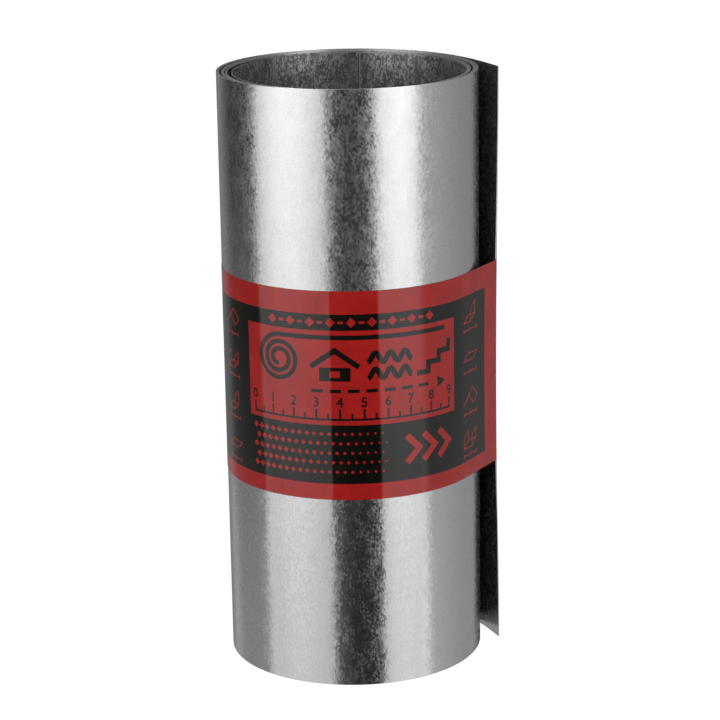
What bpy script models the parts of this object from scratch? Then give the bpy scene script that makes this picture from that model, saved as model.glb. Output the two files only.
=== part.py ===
"""A roll of thin galvanised sheet flashing, standing on its end and held shut by a film band.

The roll is one turned solid with its bore. The middle of its height is solid, and the last few
millimetres at each end are cut into the sheet's own turns by one spiral groove, which also holds
the crescents where loose turns stand apart. The free end of the sheet springs off the roll and
stands out at the right. The film band runs round the roll and over that free end.
"""

import math

import bmesh
import bpy
from mathutils import Vector

MM = 0.001

# Sheet
SHEET_WIDTH = 254.0 * MM
SHEET_THICKNESS = 0.4 * MM
TURN_GAP = 0.05 * MM
GROOVE_DEPTH = 3.0 * MM

# Roll: the radius is that of the outer face where the free end leaves it
ROLL_RADIUS = 55.0 * MM
WOUND_TURNS = 9.083
INNER_END_ANGLE = math.radians(83.5)

# Crescents between loose turns: (angle of the middle, turns inside it, widest gap, half its reach)
CRESCENTS = (
    (math.radians(180.0), 1, 1.6 * MM, math.radians(180.0)),
    (math.radians(90.0), 1, 1.2 * MM, math.radians(90.0)),
    (math.radians(180.0), 3, 0.2 * MM, math.radians(60.0)),
    (math.radians(0.0), 4, 0.85 * MM, math.radians(80.0)),
    (math.radians(180.0), 6, 0.65 * MM, math.radians(95.0)),
)

# Free end: it straightens evenly from the roll's own curve to the radius at its tip
TAIL_LENGTH = 56.3 * MM
TAIL_TIP_RADIUS = 650.0 * MM
TAIL_PULL = 1.8 * MM

# Film band
BAND_HEIGHT = 89.0 * MM
BAND_MIDDLE = 127.0 * MM
FILM_THICKNESS = 0.1 * MM
FILM_CLEARANCE = 0.3 * MM

# Facets
STEPS_PER_TURN = 48
TAIL_STEPS = 10

TURN_PITCH = SHEET_THICKNESS + TURN_GAP
WOUND_STEPS = round(WOUND_TURNS * STEPS_PER_TURN)
BAND_BOTTOM = BAND_MIDDLE - BAND_HEIGHT / 2
BAND_TOP = BAND_MIDDLE + BAND_HEIGHT / 2


def station_angle(step):
    """The angle of a step along the sheet, which winds outwards clockwise seen from above."""
    return INNER_END_ANGLE - 2 * math.pi * step / STEPS_PER_TURN


def unit(angle):
    """The unit vector in plan at an angle from +X."""
    return Vector((math.cos(angle), math.sin(angle)))


def crescent_shift(step):
    """How far the loose turns outside this step push it inwards."""
    turns = step / STEPS_PER_TURN
    shift = 0.0
    for middle, turns_inside, widest, reach in CRESCENTS:
        first_pass = ((INNER_END_ANGLE - middle) / (2 * math.pi)) % 1.0
        if turns > first_pass + turns_inside - 0.5:
            continue
        away = abs((station_angle(step) - middle + math.pi) % (2 * math.pi) - math.pi)
        if away < reach:
            shift += widest * math.cos(0.5 * math.pi * away / reach) ** 2
    return shift


def wound_faces():
    """The sheet's outer and inner face points, from its inner end to where the free end leaves."""
    outer, inner = [], []
    for step in range(WOUND_STEPS + 1):
        turns_from_outside = (WOUND_STEPS - step) / STEPS_PER_TURN
        radius = ROLL_RADIUS - TURN_PITCH * turns_from_outside - crescent_shift(step)
        outer.append(radius * unit(station_angle(step)))
        inner.append((radius - SHEET_THICKNESS) * unit(station_angle(step)))
    return outer, inner


def tail_faces(z):
    """The free end's outer and inner face points at height z, where the band pulls its tip in."""
    pull = TAIL_PULL * math.cos(math.pi * (z - BAND_MIDDLE) / SHEET_WIDTH) ** 2
    point = ROLL_RADIUS * unit(station_angle(WOUND_STEPS))
    heading = station_angle(WOUND_STEPS) - math.pi / 2
    stride = TAIL_LENGTH / TAIL_STEPS
    outer, inner = [], []
    for step in range(TAIL_STEPS):
        along = (step + 0.5) / TAIL_STEPS
        curvature = (1 - along) / ROLL_RADIUS + along / TAIL_TIP_RADIUS
        heading -= curvature * stride / 2
        point = point + stride * unit(heading)
        heading -= curvature * stride / 2
        inwards = unit(heading - math.pi / 2)
        place = point + pull * ((step + 1) / TAIL_STEPS) ** 2 * inwards
        outer.append(place)
        inner.append(place + SHEET_THICKNESS * inwards)
    return outer, inner


def faces_at(z):
    """Every outer and inner face point of the sheet at height z."""
    outer, inner = wound_faces()
    tail_outer, tail_inner = tail_faces(z)
    return outer + tail_outer, inner + tail_inner


def new_object(name, mesh_builder, material):
    """An object made from a bmesh, its faces turned outwards and its round sides smooth."""
    mesh = bpy.data.meshes.new(name)
    bm = bmesh.new()
    mesh_builder(bm)
    bmesh.ops.recalc_face_normals(bm, faces=bm.faces)
    bm.to_mesh(mesh)
    bm.free()
    mesh.shade_smooth()
    mesh.set_sharp_from_angle(angle=math.radians(30.0))
    mesh.materials.append(material)
    obj = bpy.data.objects.new(name, mesh)
    bpy.context.scene.collection.objects.link(obj)
    return obj


def wall(bm, lower, upper):
    """Quads between two rows of points, one above the other."""
    for i in range(len(lower) - 1):
        bm.faces.new((lower[i], lower[i + 1], upper[i + 1], upper[i]))


def body_outline(outer, inner):
    """The loops that go all the way up: the roll with its free end, then the bore with its step."""
    skin_start = WOUND_STEPS - STEPS_PER_TURN
    skin = outer[skin_start:] + inner[WOUND_STEPS:][::-1] + outer[skin_start : skin_start + 1]
    bore = inner[: STEPS_PER_TURN + 1] + outer[:1] + inner[:1]
    return skin, bore


def build_roll(bm):
    """The turned solid: turns at each end, a groove floor under them, and walls between."""
    groove_top = SHEET_WIDTH - GROOVE_DEPTH
    heights = (0.0, GROOVE_DEPTH, BAND_BOTTOM, BAND_MIDDLE, BAND_TOP, groove_top, SHEET_WIDTH)
    rows = []
    for z in heights:
        outer, inner = faces_at(z)
        outer = [bm.verts.new((*point, z)) for point in outer]
        inner = [bm.verts.new((*point, z)) for point in inner]
        rows.append((outer, inner))

    for low, high in ((rows[0], rows[1]), (rows[-2], rows[-1])):
        outline_low = low[0] + low[1][::-1] + low[0][:1]
        outline_high = high[0] + high[1][::-1] + high[0][:1]
        wall(bm, outline_low, outline_high)

    for outer, inner in (rows[0], rows[-1]):
        wall(bm, outer, inner)

    for outer, inner in (rows[1], rows[-2]):
        wall(bm, outer[: WOUND_STEPS - STEPS_PER_TURN + 1], inner[STEPS_PER_TURN : WOUND_STEPS + 1])

    for low, high in zip(rows[1:-2], rows[2:-1]):
        for outline_low, outline_high in zip(body_outline(*low), body_outline(*high)):
            wall(bm, outline_low, outline_high)

    loose = [vert for vert in bm.verts if not vert.link_faces]
    bmesh.ops.delete(bm, geom=loose, context="VERTS")


def film_start():
    """The step where the film, drawn straight from the tip of the free end, meets the roll."""
    outer, _ = faces_at(BAND_MIDDLE)
    tip = outer[-1]
    first = WOUND_STEPS - STEPS_PER_TURN
    front = range(first, first + STEPS_PER_TURN // 2)
    return max(front, key=lambda step: (outer[step] - tip).angle_signed(-tip))


def film_loop(z, offset):
    """A taut loop round the roll and its free end at height z, a given distance off them."""
    outer, _ = faces_at(z)
    held = outer[film_start() :]
    loop = []
    for before, point, after in zip(held[-1:] + held[:-1], held, held[1:] + held[:1]):
        arriving = (point - before).normalized()
        leaving = (after - point).normalized()
        outwards = Vector((-arriving.y - leaving.y, arriving.x + leaving.x)).normalized()
        stretch = Vector((-arriving.y, arriving.x)).dot(outwards)
        loop.append(point + offset / stretch * outwards)
    return loop


def build_band(bm):
    """The film band, a thin closed loop."""
    rows = []
    for z in (BAND_BOTTOM, BAND_MIDDLE, BAND_TOP):
        sides = []
        for offset in (FILM_CLEARANCE, FILM_CLEARANCE + FILM_THICKNESS):
            loop = [bm.verts.new((*point, z)) for point in film_loop(z, offset)]
            sides.append(loop + loop[:1])
        rows.append(sides)
    for low, high in zip(rows[:-1], rows[1:]):
        wall(bm, low[0], high[0])
        wall(bm, low[1], high[1])
    wall(bm, rows[0][0], rows[0][1])
    wall(bm, rows[-1][0], rows[-1][1])


def principled(name, color, roughness, metallic):
    """A Principled material with one colour."""
    material = bpy.data.materials.new(name)
    material.use_nodes = True
    shader = material.node_tree.nodes["Principled BSDF"]
    shader.inputs["Base Color"].default_value = (*color, 1.0)
    shader.inputs["Roughness"].default_value = roughness
    shader.inputs["Metallic"].default_value = metallic
    material.diffuse_color = (*color, 1.0)
    return material


def stand_on_origin(objects):
    """Places the objects so that the origin is the middle of the footprint."""
    corners = [vert.co for obj in objects for vert in obj.data.vertices]
    low = [min(corner[axis] for corner in corners) for axis in range(2)]
    high = [max(corner[axis] for corner in corners) for axis in range(2)]
    for obj in objects:
        obj.location = (-(low[0] + high[0]) / 2, -(low[1] + high[1]) / 2, 0.0)


def main():
    for obj in list(bpy.data.objects):
        bpy.data.objects.remove(obj, do_unlink=True)
    zinc = principled("zinc_coated_steel", (0.62, 0.63, 0.64), 0.3, 1.0)
    film = principled("red_film", (0.42, 0.03, 0.025), 0.2, 0.0)
    roll = new_object("sheet_roll", build_roll, zinc)
    band = new_object("label_band", build_band, film)
    stand_on_origin([roll, band])


main()
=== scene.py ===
"""Looks of a roll of thin galvanised sheet flashing that stands on its end.

The sheet is wound from its true spiral, with every turn and every gap between loose turns running the
full height. Its free end stands out at the right. A printed film band runs round the roll and over
that free end, and its print is part of the film's own surface. Sizes are in metres, in the frame's axes.
"""

import logging
import math
from dataclasses import dataclass, field
from enum import Enum
from typing import Union

import bmesh
import bpy
from mathutils import Matrix, Vector
from mathutils.geometry import delaunay_2d_cdt


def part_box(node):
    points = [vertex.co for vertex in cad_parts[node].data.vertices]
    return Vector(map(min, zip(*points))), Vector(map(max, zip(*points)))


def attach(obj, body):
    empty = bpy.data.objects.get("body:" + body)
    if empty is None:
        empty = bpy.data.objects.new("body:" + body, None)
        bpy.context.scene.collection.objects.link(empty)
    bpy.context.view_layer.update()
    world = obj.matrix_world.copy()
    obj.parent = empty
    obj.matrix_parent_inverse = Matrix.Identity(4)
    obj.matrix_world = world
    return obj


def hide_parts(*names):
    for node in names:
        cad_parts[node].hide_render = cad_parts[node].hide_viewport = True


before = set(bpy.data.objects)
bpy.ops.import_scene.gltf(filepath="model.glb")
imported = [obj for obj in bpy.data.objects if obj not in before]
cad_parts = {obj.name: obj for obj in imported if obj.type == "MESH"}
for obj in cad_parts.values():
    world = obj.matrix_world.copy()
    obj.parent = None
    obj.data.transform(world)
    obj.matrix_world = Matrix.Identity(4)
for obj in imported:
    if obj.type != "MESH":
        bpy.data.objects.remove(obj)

LOG = logging.getLogger("roll_flashing")
MM = 0.001
BODY = "root"
SHEET_NODE = "sheet_roll"
BAND_NODE = "label_band"
SHARP_ANGLE = math.radians(8.0)
MERGE_DISTANCE = 1e-7
DEGREES = 180.0 / math.pi
WHITE = (1.0, 1.0, 1.0, 1.0)

# Numerals: a figure's height as a share of the font's size, its boldness as a share of its height
FIGURE_SHARE = 0.72
FIGURE_BOLDNESS = 0.025
FIGURE_FINENESS = 3

# Types
Color = tuple[float, float, float]
Outline = list[tuple[float, float]]
Socket = bpy.types.NodeSocket
Signal = Union[Socket, float, tuple]
Materials = list[bpy.types.Material]
Mesh = bmesh.types.BMesh
Vert = bmesh.types.BMVert
FlatLayer = bmesh.types.BMLayerItem


class Slot(Enum):
    """The record's material slots."""

    GALVANISED_SHEET = "galvanised_sheet"
    PRINTED_FILM = "printed_film"


class Ink(Enum):
    """What a patch of the band's print shows: the film itself, or the dark ink on it."""

    RED = 0
    BLACK = 1


def unit(angle: float) -> Vector:
    """Gives the plan direction at an angle from +X.

    Args:
        angle: The angle in radians, counter-clockwise seen from above.

    Returns:
        A unit vector in plan.
    """
    return Vector((math.cos(angle), math.sin(angle)))


def spread(low: float, high: float, count: int) -> list[float]:
    """Gives evenly spaced numbers.

    Args:
        low: The first number.
        high: The last number.
        count: How many steps lie between them.

    Returns:
        count + 1 numbers, both ends among them.
    """
    return [low + (high - low) * i / count for i in range(count + 1)]


def smooth_step(share: float) -> float:
    """Eases a share from 0 to 1, flat at both ends."""
    share = min(max(share, 0.0), 1.0)
    return share * share * (3.0 - 2.0 * share)


def box_middle(points: list[Vector]) -> Vector:
    """Gives the middle of the plan box round some points.

    Args:
        points: Plan points.

    Returns:
        The middle of their box.
    """
    xs = [point.x for point in points]
    ys = [point.y for point in points]
    return Vector(((min(xs) + max(xs)) / 2, (min(ys) + max(ys)) / 2))


class NodeBench:
    """Puts shader nodes into one node tree, each with its inputs set or linked by name."""

    def __init__(self, tree: bpy.types.NodeTree) -> None:
        """Takes the tree and empties it.

        Args:
            tree: The node tree of a material or world.
        """
        self.tree = tree
        tree.nodes.clear()

    def add(self, kind: str, inputs: dict | None = None, **settings: object) -> bpy.types.Node:
        """Adds one node.

        Args:
            kind: The node's type name without the ShaderNode prefix.
            inputs: Values or output sockets for its inputs, by name or by number.
            settings: Values for the node's own properties.

        Returns:
            The new node.
        """
        node = self.tree.nodes.new("ShaderNode" + kind)
        for name, value in settings.items():
            setattr(node, name, value)
        for key, value in (inputs or {}).items():
            if isinstance(value, Socket):
                self.tree.links.new(value, node.inputs[key])
            else:
                node.inputs[key].default_value = value
        return node

    def math(self, operation: str, *values: Signal) -> Socket:
        """Adds a Math node.

        Args:
            operation: The operation's name in Blender.
            values: Up to three numbers or sockets.

        Returns:
            Its output socket.
        """
        return self.add("Math", dict(enumerate(values)), operation=operation).outputs[0]

    def vector(self, operation: str, *values: Signal) -> Socket:
        """Adds a Vector Math node and returns its vector output."""
        return self.add("VectorMath", dict(enumerate(values)), operation=operation).outputs[0]

    def ramp(
        self, value: Signal, low: Signal, high: Signal, out_low: float = 0.0, out_high: float = 1.0
    ) -> Socket:
        """Maps a value smoothly from one range to another.

        Args:
            value: The number or socket to map.
            low: The value that gives out_low.
            high: The value that gives out_high.
            out_low: The output at and below low.
            out_high: The output at and above high.

        Returns:
            The output socket.
        """
        inputs = {"Value": value, "From Min": low, "From Max": high}
        inputs |= {"To Min": out_low, "To Max": out_high}
        return self.add("MapRange", inputs, interpolation_type="SMOOTHSTEP").outputs[0]

    def line(self, value: Signal, place: float, core: float, edge: float) -> Socket:
        """Marks the values near one place.

        Args:
            value: The number or socket to test.
            place: The middle of the line.
            core: Half the width that is marked in full.
            edge: Half the width at which the mark has faded out.

        Returns:
            A socket that is 1 on the line and 0 off it.
        """
        away = self.math("ABSOLUTE", self.math("SUBTRACT", value, place))
        return self.ramp(away, core, edge, 1.0, 0.0)

    def blend(self, share: Signal, first: Signal, second: Signal) -> Socket:
        """Mixes two numbers.

        Args:
            share: How much of the second number, 0 to 1.
            first: A number or socket.
            second: A number or socket.

        Returns:
            The output socket.
        """
        return self.add("Mix", {0: share, 2: first, 3: second}, data_type="FLOAT").outputs[0]

    def blend_color(self, share: Signal, first: Union[Socket, Color], second: Color) -> Socket:
        """Mixes two colours by a share and returns the output socket."""
        first = (*first, 1.0) if isinstance(first, tuple) else first
        return self.add("Mix", {0: share, 6: first, 7: (*second, 1.0)}, data_type="RGBA").outputs[2]

    def flat_coords(self) -> Socket:
        """Reads a piece's own flat coordinates, in metres."""
        return self.add("UVMap", uv_map=SheetRoll.FLAT_COORDS).outputs[0]

    def stretched(self, coords: Signal, across: float, along: float) -> Socket:
        """Scales surface coordinates so that a texture's cells get the wanted size.

        Args:
            coords: The surface coordinates in metres.
            across: A cell's size along the sheet's length, in metres.
            along: A cell's size along the sheet's width, in metres.

        Returns:
            The scaled coordinates.
        """
        return self.vector("MULTIPLY", coords, (1.0 / across, 1.0 / along, 1.0))

    def noise(self, coords: Signal, across: float, along: float, detail: float) -> Socket:
        """Adds a flat noise.

        Args:
            coords: The surface coordinates in metres.
            across: Its cell's size along the sheet's length.
            along: Its cell's size along the sheet's width.
            detail: How many finer layers it has.

        Returns:
            A socket with values round 0.5.
        """
        inputs = {"Vector": self.stretched(coords, across, along), "Scale": 1.0, "Detail": detail}
        return self.add("TexNoise", inputs, noise_dimensions="2D").outputs["Fac"]

    def cells(self, coords: Signal) -> Socket:
        """Adds flat cells of unit size and returns each cell's own random colour."""
        inputs = {"Vector": coords, "Scale": 1.0}
        return self.add("TexVoronoi", inputs, voronoi_dimensions="2D").outputs["Color"]

    def surface(self, kind: str, inputs: dict) -> None:
        """Adds the shader that the material ends in, and its output."""
        self.add("OutputMaterial", {"Surface": self.add(kind, inputs).outputs[0]})


def open_material(name: str, color: Color) -> tuple[bpy.types.Material, NodeBench]:
    """Adds a material with an empty node tree.

    Args:
        name: The material's name.
        color: Its colour in a plain view.

    Returns:
        The material, and the bench that its nodes are put on.
    """
    material = bpy.data.materials.new(name)
    material.use_nodes = True
    material.diffuse_color = (*color, 1.0)
    return material, NodeBench(material.node_tree)


@dataclass(frozen=True)
class ZincFinish:
    """Hot-dipped zinc: bright grains and dull grains side by side, drawn out across the strip."""

    color: Color = (0.60, 0.60, 0.60)
    dull_color: Color = (0.575, 0.575, 0.575)
    bright_roughness: float = 0.125
    dull_roughness: float = 0.31
    metal_share: float = 0.975
    grain: float = 0.55 * MM
    grain_length: float = 1.045 * MM
    grain_tilt: float = 0.022
    wobble: float = 0.44 * MM
    wobble_length: float = 0.55 * MM
    fine: float = 0.2475 * MM
    fine_length: float = 0.44 * MM
    patch: float = 5.0 * MM
    patch_length: float = 9.0 * MM
    streak: float = 0.7 * MM
    streak_length: float = 22.0 * MM
    grain_weight: float = 0.8
    patch_weight: float = 1.3
    fine_weight: float = 1.0
    streak_weight: float = 0.6
    dull_range: tuple[float, float] = (0.95, 2.4)
    height_change: float = 0.3
    changing_heights: tuple[float, float] = (50.0 * MM, 200.0 * MM)
    # Rubbed lines at the inner end: rougher zinc, and a lighter colour that is a painted highlight.
    scuff_color: Color = (0.63, 0.63, 0.63)
    scuff_roughness: float = 0.34
    scuff_core: float = 0.2 * MM
    scuff_edge: float = 0.4 * MM
    # Painted shade: the colour and widths of the dark lines in the corner at the sheet's inner end.
    soil_color: Color = (0.16, 0.155, 0.15)
    soil_core: float = 0.231 * MM
    soil_edge: float = 0.33 * MM

    def dullness(self, bench: NodeBench, flat: Socket, grain: Socket) -> Socket:
        """Adds up what makes a spot dull: its grain, fine specks, broad patches, streaks and its height.

        Args:
            bench: The material's bench.
            flat: The flat coordinates.
            grain: A random number for each grain.

        Returns:
            The sum, higher where the coating is duller.
        """
        fine = bench.noise(flat, self.fine, self.fine_length, 3.0)
        patch = bench.noise(flat, self.patch, self.patch_length, 3.0)
        streak = bench.noise(flat, self.streak, self.streak_length, 2.0)
        dullness = bench.math("MULTIPLY", grain, self.grain_weight)
        dullness = bench.math("MULTIPLY_ADD", patch, self.patch_weight, dullness)
        dullness = bench.math("MULTIPLY_ADD", fine, self.fine_weight, dullness)
        dullness = bench.math("MULTIPLY_ADD", streak, self.streak_weight, dullness)
        height = bench.add("SeparateXYZ", {0: flat}).outputs[1]
        brighter = bench.ramp(height, *self.changing_heights, -self.height_change, 0.0)
        return bench.math("ADD", dullness, brighter)

    def tilted_normal(self, bench: NodeBench, grain: bpy.types.Node) -> Socket:
        """Tilts each grain's face a little its own way.

        Args:
            bench: The material's bench.
            grain: The node that splits each grain's random colour.

        Returns:
            The unit normal.
        """
        red, green, blue = grain.outputs
        tilt = bench.add("CombineXYZ", {0: green, 1: blue, 2: red}).outputs[0]
        tilt = bench.vector("SUBTRACT", tilt, (0.5, 0.5, 0.5))
        scale = {0: tilt, "Scale": 2.0 * self.grain_tilt}
        tilt = bench.add("VectorMath", scale, operation="SCALE").outputs[0]
        facing = bench.add("NewGeometry").outputs["Normal"]
        return bench.vector("NORMALIZE", bench.vector("ADD", facing, tilt))

    def make(self, scuffs_and_highlights: tuple[float, ...], painted_shade_lines: tuple[float, ...]) -> bpy.types.Material:
        """Builds the material.

        Args:
            scuffs_and_highlights: Flat coordinates of the rubbed lines along the sheet's inner end, also
                painted a little lighter as a highlight.
            painted_shade_lines: Flat coordinates of the dark lines of painted shade in the corner at that
                end.

        Returns:
            The new material, which reads the sheet's own flat coordinates.
        """
        material, bench = open_material("zinc_coating", self.color)
        flat = bench.flat_coords()
        wobble = bench.noise(flat, self.wobble, self.wobble_length, 2.0)
        wobble_pair = bench.vector("SCALE", bench.add("CombineXYZ", {0: wobble, 1: wobble}).outputs[0])
        grain_coords = bench.stretched(flat, self.grain, self.grain_length)
        grain = bench.add("SeparateColor", {0: bench.cells(bench.vector("ADD", grain_coords, wobble_pair))})
        share = bench.ramp(self.dullness(bench, flat, grain.outputs[0]), *self.dull_range)
        roughness = bench.blend(share, self.bright_roughness, self.dull_roughness)
        color = bench.blend_color(share, self.color, self.dull_color)
        along = bench.add("SeparateXYZ", {0: flat}).outputs[0]
        # Rubbed lines: rougher zinc, with a lighter colour that paints the highlight of the inner end's
        # edge and of its reflection.
        for place in scuffs_and_highlights:
            scuff_and_highlight = bench.line(along, place, self.scuff_core, self.scuff_edge)
            roughness = bench.blend(scuff_and_highlight, roughness, self.scuff_roughness)
            color = bench.blend_color(scuff_and_highlight, color, self.scuff_color)
        # Painted shade: dark lines in the corner where the inner end meets the turn behind it.
        for place in painted_shade_lines:
            painted_shade_line = bench.line(along, place, self.soil_core, self.soil_edge)
            color = bench.blend_color(painted_shade_line, color, self.soil_color)
        inputs = {
            "Base Color": color,
            "Metallic": self.metal_share,
            "Roughness": roughness,
            "Normal": self.tilted_normal(bench, grain),
        }
        bench.surface("BsdfPrincipled", inputs)
        return material


@dataclass(frozen=True)
class CutEdgeFinish:
    """Bare steel along the slit edges and cut ends, with fine drag lines across its thickness."""

    color: Color = (0.40, 0.40, 0.40)
    worn_color: Color = (0.285, 0.28, 0.275)
    smooth_roughness: float = 0.2
    torn_roughness: float = 0.34
    drag: float = 1.1 * MM
    torn_range: tuple[float, float] = (0.35, 0.65)

    def make(self) -> bpy.types.Material:
        """Builds the material.

        Returns:
            The new material, which reads the sheet's own flat coordinates.
        """
        material, bench = open_material("cut_edge", self.color)
        drag = bench.noise(bench.flat_coords(), self.drag, self.drag, 4.0)
        share = bench.ramp(drag, *self.torn_range)
        color = bench.blend_color(share, self.color, self.worn_color)
        roughness = bench.blend(share, self.smooth_roughness, self.torn_roughness)
        bench.surface("BsdfPrincipled", {"Base Color": color, "Metallic": 1.0, "Roughness": roughness})
        return material


@dataclass(frozen=True)
class Crease:
    """A faint upright crease in the film, in label coordinates, with a bump and painted shade."""

    place: float
    low: float
    high: float
    lean: float = 0.0


@dataclass(frozen=True)
class FilmFinish:
    """Glossy plastic film in one ink colour."""

    name: str
    color: Color
    deep_color: Color
    roughness: float = 0.06
    index: float = 1.5
    cloud: float = 9.0 * MM
    cloud_height: float = 14.0 * MM
    speck: float = 0.35 * MM
    speck_weight: float = 0.35
    deep_range: tuple[float, float] = (0.45, 0.9)
    swell: float = 26.0 * MM
    swell_height: float = 60.0 * MM
    swell_depth: float = 0.05 * MM
    swell_strength: float = 0.5
    creases: tuple[Crease, ...] = (
        Crease(38.6 * MM, 99.0 * MM, 123.0 * MM, 0.05),
        Crease(-13.4 * MM, 160.0 * MM, 171.0 * MM),
        Crease(-31.0 * MM, 83.0 * MM, 96.0 * MM, -0.04),
    )
    crease_width: float = 0.35 * MM
    crease_fade: float = 5.0 * MM
    # How far and towards which colour the creases darken the film: painted shade.
    crease_shade: float = 0.45
    crease_color: Color = (0.004, 0.004, 0.004)
    crease_swell: float = 0.6

    def make(self) -> bpy.types.Material:
        """Builds the material.

        Returns:
            The new material, which reads the film's own flat coordinates.
        """
        material, bench = open_material(self.name, self.color)
        flat = bench.flat_coords()
        cloud = bench.noise(flat, self.cloud, self.cloud_height, 4.0)
        speck = bench.noise(flat, self.speck, self.speck, 2.0)
        share = bench.math("MULTIPLY_ADD", speck, self.speck_weight, cloud)
        color = bench.blend_color(bench.ramp(share, *self.deep_range), self.color, self.deep_color)
        # Painted shade: each crease darkens the film's colour towards black, besides the bump it gives.
        crease = self.crease_mask(bench, flat)
        shade = bench.math("MULTIPLY", crease, self.crease_shade)
        color = bench.blend_color(shade, color, self.crease_color)
        swell = bench.noise(flat, self.swell, self.swell_height, 1.0)
        swell = bench.math("MULTIPLY_ADD", crease, self.crease_swell, swell)
        depth = {"Height": swell, "Distance": self.swell_depth, "Strength": self.swell_strength}
        inputs = {
            "Base Color": color,
            "Roughness": self.roughness,
            "IOR": self.index,
            "Normal": bench.add("Bump", depth).outputs[0],
        }
        bench.surface("BsdfPrincipled", inputs)
        return material

    def crease_mask(self, bench: NodeBench, flat: Socket) -> Socket:
        """Adds the creases as one mask.

        Args:
            bench: The material's bench.
            flat: The flat coordinates.

        Returns:
            A socket that is 1 on a crease and 0 off it.
        """
        place, height, _ = bench.add("SeparateXYZ", {0: flat}).outputs
        mask = 0.0
        for crease in self.creases:
            upright = bench.math("MULTIPLY_ADD", height, -crease.lean, place)
            middle = crease.place - crease.lean * (crease.low + crease.high) / 2
            line = bench.line(upright, middle, 0.0, self.crease_width)
            foot = bench.ramp(height, crease.low, crease.low + self.crease_fade)
            head = bench.ramp(height, crease.high - self.crease_fade, crease.high, 1.0, 0.0)
            line = bench.math("MULTIPLY", line, bench.math("MULTIPLY", foot, head))
            mask = bench.math("MAXIMUM", line, mask)
        return mask


RED_FILM = FilmFinish("red_film", (0.33, 0.013, 0.011), (0.275, 0.011, 0.009))
BLACK_PRINT = FilmFinish("black_print", (0.0055, 0.005, 0.004), (0.004, 0.004, 0.0035))


@dataclass(frozen=True)
class Corner:
    """One corner of the strip's cross-section."""

    depth: float
    z: float
    on_inner: bool = False
    starts_cut: bool = False


@dataclass(frozen=True)
class Crescent:
    """A gap where loose turns stand apart."""

    middle: float
    turns_inside: int
    widest: float
    reach: float


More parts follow.
